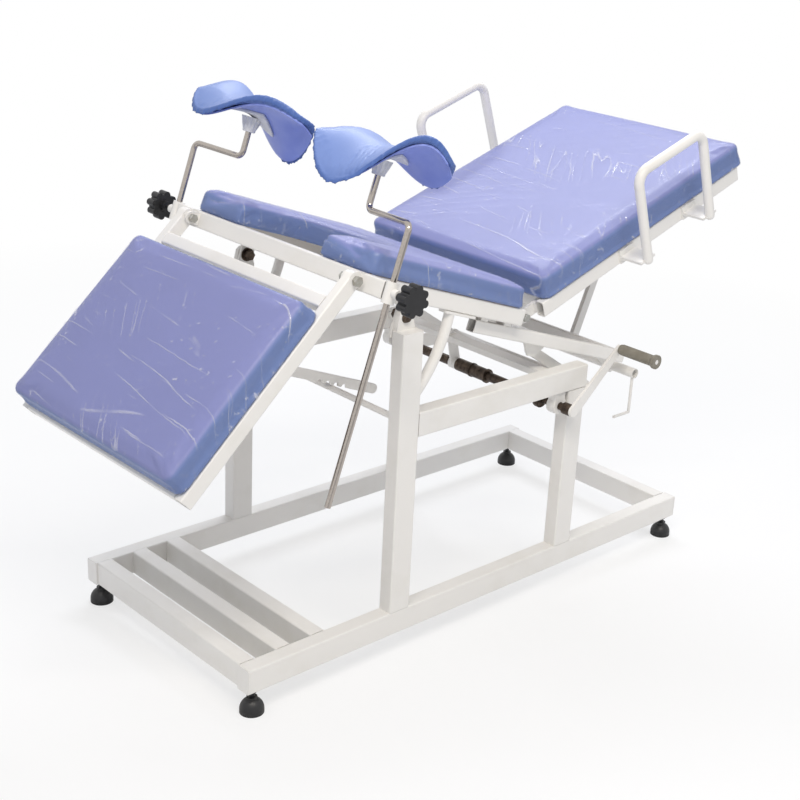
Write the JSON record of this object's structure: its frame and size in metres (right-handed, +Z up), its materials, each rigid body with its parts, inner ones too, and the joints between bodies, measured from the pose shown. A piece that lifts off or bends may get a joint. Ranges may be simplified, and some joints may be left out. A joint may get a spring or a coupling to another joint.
{
  "type": "gynecological examination table",
  "caption": "Examination table on a floor frame with a crank-tilted seat, raised back with arm handles, drop leg section and two saddle leg holders on clamped rods.",
  "frame": {"origin": "on the floor under the centre of the floor frame", "axes": "+X from the foot end to the head end, +Y to the side away from the crank, +Z up"},
  "size_m": [1.7899, 0.958, 1.2442],
  "materials": {
    "frame_paint": "powder coated, satin",
    "vinyl": "upholstery vinyl under clear film",
    "holder_vinyl": "gathered vinyl",
    "holder_plastic": "moulded shell",
    "bracket_plastic": "moulded bracket",
    "chrome_rod": "bright plated",
    "black_plastic": "moulded",
    "grip_plastic": "moulded grip",
    "dark_steel": "oiled steel",
    "zinc": "zinc plated"
  },
  "bodies": {
    "base": {"base_frame": "frame_paint", "tube_caps": "frame_paint", "front_post_near": "frame_paint", "front_post_far": "frame_paint", "head_post_near": "frame_paint", "head_post_far": "frame_paint", "side_rail_near": "frame_paint", "side_rail_far": "frame_paint", "cross_member": "frame_paint", "rest_bracket_near": "frame_paint", "rest_bracket_far": "frame_paint", "leg_rest_rod": "frame_paint", "bearing_near": "frame_paint", "bearing_far": "frame_paint", "tilt_bolts": "zinc"},
    "foot_1": {"foot_front_near": "black_plastic"},
    "foot_2": {"foot_front_far": "black_plastic"},
    "foot_3": {"foot_head_near": "black_plastic"},
    "foot_4": {"foot_head_far": "black_plastic"},
    "top": {"seat_frame": "frame_paint", "lift_beams": "frame_paint", "rod_sleeve_near": "frame_paint", "rod_sleeve_far": "frame_paint", "seat_cushion": "vinyl", "leg_hinge_bolts": "zinc", "back_hinge_bolts": "zinc"},
    "back": {"back_frame": "frame_paint", "back_cushion": "vinyl", "arm_handle_near": "frame_paint", "arm_handle_far": "frame_paint"},
    "leg": {"leg_frame": "frame_paint", "leg_cushion": "vinyl"},
    "leg_prop_bar": {"leg_prop": "frame_paint"},
    "rod_near": {"holder_rod_near": "chrome_rod"},
    "rod_far": {"holder_rod_far": "chrome_rod"},
    "holder_near": {"holder_bracket_near": "bracket_plastic", "holder_shell_near": "holder_plastic", "holder_pad_near": "holder_vinyl"},
    "holder_far": {"holder_bracket_far": "bracket_plastic", "holder_shell_far": "holder_plastic", "holder_pad_far": "holder_vinyl"},
    "knob_near": {"clamp_knob_near": "black_plastic"},
    "knob_far": {"clamp_knob_far": "black_plastic"},
    "crank": {"crank_shaft": "dark_steel", "crank_arm": "frame_paint"},
    "grip": {"crank_grip": "grip_plastic"},
    "lift_shaft": {"torque_tube": "dark_steel", "lift_levers": "frame_paint"},
    "link_near": {"lift_link_near": "frame_paint"},
    "link_far": {"lift_link_far": "frame_paint"},
    "back_prop_frame": {"back_prop": "frame_paint"},
    "release": {"release_lever": "frame_paint"}
  },
  "joints": [
    {"name": "foot_1_turn", "type": "hinge", "parent": "base", "child": "foot_1", "pos_m": [-0.715, -0.31, 0], "axis": [0, 0, 1], "continuous": true},
    {"name": "foot_2_turn", "type": "hinge", "parent": "base", "child": "foot_2", "pos_m": [-0.715, 0.31, 0], "axis": [0, 0, 1], "continuous": true},
    {"name": "foot_3_turn", "type": "hinge", "parent": "base", "child": "foot_3", "pos_m": [0.715, -0.31, 0], "axis": [0, 0, 1], "continuous": true},
    {"name": "foot_4_turn", "type": "hinge", "parent": "base", "child": "foot_4", "pos_m": [0.715, 0.31, 0], "axis": [0, 0, 1], "continuous": true},
    {"name": "seat_tilt", "type": "hinge", "parent": "base", "child": "top", "pos_m": [-0.308, 0, 0.832], "axis": [0, -1, 0], "range_deg": [0, 18.43]},
    {"name": "lift_shaft_turn", "type": "hinge", "parent": "base", "child": "lift_shaft", "pos_m": [0.206, 0, 0.515], "axis": [0, -1, 0], "range_deg": [0, 30.9]},
    {"name": "link_near_swing", "type": "hinge", "parent": "lift_shaft", "child": "link_near", "pos_m": [0.38574, -0.2545, 0.50526], "axis": [0, -1, 0], "range_deg": [-47.5, 0]},
    {"name": "link_far_swing", "type": "hinge", "parent": "lift_shaft", "child": "link_far", "pos_m": [0.38574, 0.2545, 0.50526], "axis": [0, -1, 0], "range_deg": [-47.5, 0]},
    {"name": "crank_turn", "type": "hinge", "parent": "base", "child": "crank", "pos_m": [0.206, -0.365, 0.515], "axis": [0, -1, 0], "range_deg": [0, 615]},
    {"name": "grip_spin", "type": "hinge", "parent": "crank", "child": "grip", "pos_m": [0.36072, -0.43, 0.64949], "axis": [0, 1, 0], "continuous": true},
    {"name": "back_tilt", "type": "hinge", "parent": "top", "child": "back", "pos_m": [0.0865, 0, 0.75851], "axis": [0, -1, 0], "range_deg": [-37.87, 7]},
    {"name": "back_prop_swing", "type": "hinge", "parent": "top", "child": "back_prop_frame", "pos_m": [0.4886, 0, 0.57498], "axis": [0, -1, 0], "range_deg": [-85, 16]},
    {"name": "release_turn", "type": "hinge", "parent": "top", "child": "release", "pos_m": [0.52718, 0, 0.52628], "axis": [0, 1, 0], "range_deg": [0, 25]},
    {"name": "leg_tilt", "type": "hinge", "parent": "top", "child": "leg", "pos_m": [-0.46612, 0, 0.94267], "axis": [0, 1, 0], "range_deg": [-27, 62.2]},
    {"name": "leg_prop_swing", "type": "hinge", "parent": "leg", "child": "leg_prop_bar", "pos_m": [-0.61207, -0.084, 0.73362], "axis": [0, -1, 0], "range_deg": [-23, 53]},
    {"name": "rod_near_slide", "type": "slide", "parent": "top", "child": "rod_near", "axis": [0.3161, 0, 0.9487], "range_m": [-0.05, 0.3]},
    {"name": "rod_far_slide", "type": "slide", "parent": "top", "child": "rod_far", "axis": [0.3161, 0, 0.9487], "range_m": [-0.07, 0.28]},
    {"name": "holder_near_swivel", "type": "hinge", "parent": "rod_near", "child": "holder_near", "pos_m": [-0.32233, -0.21237, 1.14825], "axis": [0.3161, 0, 0.9487], "range_deg": [-25, 25]},
    {"name": "holder_far_swivel", "type": "hinge", "parent": "rod_far", "child": "holder_far", "pos_m": [-0.34279, 0.2227, 1.1635], "axis": [0.3161, 0, 0.9487], "range_deg": [-25, 25]},
    {"name": "knob_near_turn", "type": "hinge", "parent": "top", "child": "knob_near", "pos_m": [-0.43576, -0.455, 0.93255], "axis": [0, -1, 0], "continuous": true},
    {"name": "knob_far_turn", "type": "hinge", "parent": "top", "child": "knob_far", "pos_m": [-0.43576, 0.455, 0.93255], "axis": [0, 1, 0], "continuous": true}
  ],
  "couplings": [
    {"joint": "lift_shaft_turn", "follows": "seat_tilt", "ratio": 1.666},
    {"joint": "link_near_swing", "follows": "seat_tilt", "ratio": -2.561},
    {"joint": "link_far_swing", "follows": "seat_tilt", "ratio": -2.561},
    {"joint": "crank_turn", "follows": "seat_tilt", "ratio": 33.32},
    {"joint": "back_prop_swing", "follows": "back_tilt", "ratio": 2.24},
    {"joint": "leg_prop_swing", "follows": "leg_tilt", "ratio": 0.85}
  ]
}
